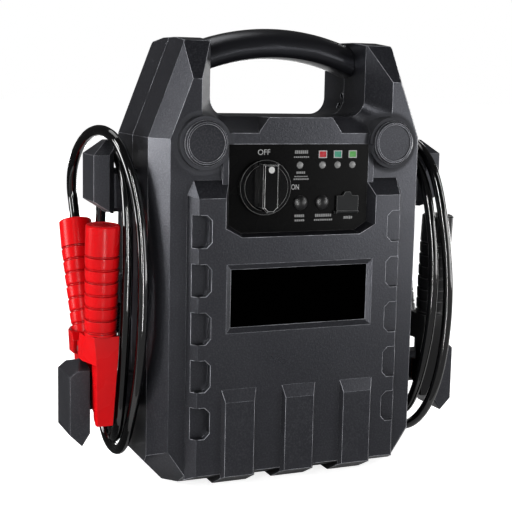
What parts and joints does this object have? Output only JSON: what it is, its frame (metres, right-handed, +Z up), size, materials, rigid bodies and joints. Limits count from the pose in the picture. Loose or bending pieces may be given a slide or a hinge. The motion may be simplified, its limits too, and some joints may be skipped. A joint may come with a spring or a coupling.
{
  "type": "jump starter pack",
  "caption": "Portable jump starter pack with a bridge handle, turning main switch, side cleats, wound leads and spring clamps.",
  "frame": {"origin": "on the ground under the middle of the pack, in the plane where its two housing halves meet", "axes": "+X to the right as seen from the front, +Y to the back, +Z up"},
  "size_m": [0.372, 0.1562, 0.386],
  "materials": {
    "housing": "fine textured dark grey",
    "panel": "gloss black",
    "label": "plain black, smooth",
    "rubber": "soft black",
    "white": "white inlay",
    "lens": "grey translucent",
    "level": "coloured windows",
    "steel": "zinc plated",
    "copper": "copper plated",
    "lead_metal": "cast lead alloy posts",
    "battery_case": "moulded case",
    "switch_case": "moulded case",
    "board": "lacquered",
    "red_plastic": "red, satin gloss",
    "black_plastic": "black, satin gloss",
    "cable": "glossy black jacket"
  },
  "bodies": {
    "pack": {"battery": "battery_case", "battery_bracket": "steel", "battery_terminals": "lead_metal", "black_clamp_pin": "steel", "black_clamp_rear_contact": "copper", "black_clamp_rear_grip": "black_plastic", "black_clamp_rear_lever": "black_plastic", "black_clamp_spring": "steel", "black_inner_lead": "cable", "black_lead": "cable", "board_screws": "steel", "bracket_screws": "steel", "case_screws": "steel", "control_board": "board", "control_panel": "panel", "corner_cap_left": "housing", "corner_cap_right": "housing", "front_housing": "housing", "handle_grip": "housing", "handle_strap": "steel", "label_plate": "label", "lamp_lenses": "lens", "lead_hood_left": "housing", "lead_hood_right": "housing", "level_windows": "level", "lower_cleat_left": "housing", "lower_cleat_right": "housing", "rear_housing": "housing", "red_clamp_pin": "steel", "red_clamp_rear_contact": "copper", "red_clamp_rear_grip": "red_plastic", "red_clamp_rear_lever": "red_plastic", "red_clamp_spring": "steel", "red_inner_lead": "cable", "red_lead": "cable", "switch_body": "switch_case", "switch_feed": "cable", "switch_studs": "copper", "tact_switches": "switch_case", "tower_screws": "steel", "upper_cleat_left": "housing", "upper_cleat_right": "housing", "usb_socket": "steel"},
    "main_switch": {"switch_knob": "panel", "knob_pointer": "white", "switch_shaft": "steel"},
    "left_button": {"left_button": "panel"},
    "right_button": {"right_button": "panel"},
    "socket_cover": {"socket_cover": "rubber"},
    "red_clamp_front": {"red_clamp_front_lever": "red_plastic", "red_clamp_front_grip": "red_plastic", "red_clamp_front_contact": "copper"},
    "black_clamp_front": {"black_clamp_front_lever": "black_plastic", "black_clamp_front_grip": "black_plastic", "black_clamp_front_contact": "copper"}
  },
  "joints": [
    {"name": "main_switch_turn", "type": "hinge", "parent": "pack", "child": "main_switch", "pos_m": [-0.0322, -0.065, 0.2541], "axis": [0, 1, 0], "range_deg": [0, 90]},
    {"name": "left_button_press", "type": "slide", "parent": "pack", "child": "left_button", "axis": [0, 1, 0], "range_m": [0, 0.0015], "stiffness_N_per_m": 600, "springref_m": -0.0003},
    {"name": "right_button_press", "type": "slide", "parent": "pack", "child": "right_button", "axis": [0, 1, 0], "range_m": [0, 0.0015], "stiffness_N_per_m": 600, "springref_m": -0.0003},
    {"name": "socket_cover_hinge", "type": "hinge", "parent": "pack", "child": "socket_cover", "pos_m": [0.0444, -0.0666, 0.2319], "axis": [1, 0, 0], "range_deg": [0, 150]},
    {"name": "red_clamp_open", "type": "hinge", "parent": "pack", "child": "red_clamp_front", "pos_m": [-0.161, 0, 0.1135], "axis": [-1, 0, 0], "range_deg": [0, 12], "stiffness_Nm_per_rad": 4, "springref_deg": -14.32},
    {"name": "black_clamp_open", "type": "hinge", "parent": "pack", "child": "black_clamp_front", "pos_m": [0.1556, 0, 0.1135], "axis": [-1, 0, 0], "range_deg": [0, 12], "stiffness_Nm_per_rad": 4, "springref_deg": -14.32}
  ]
}
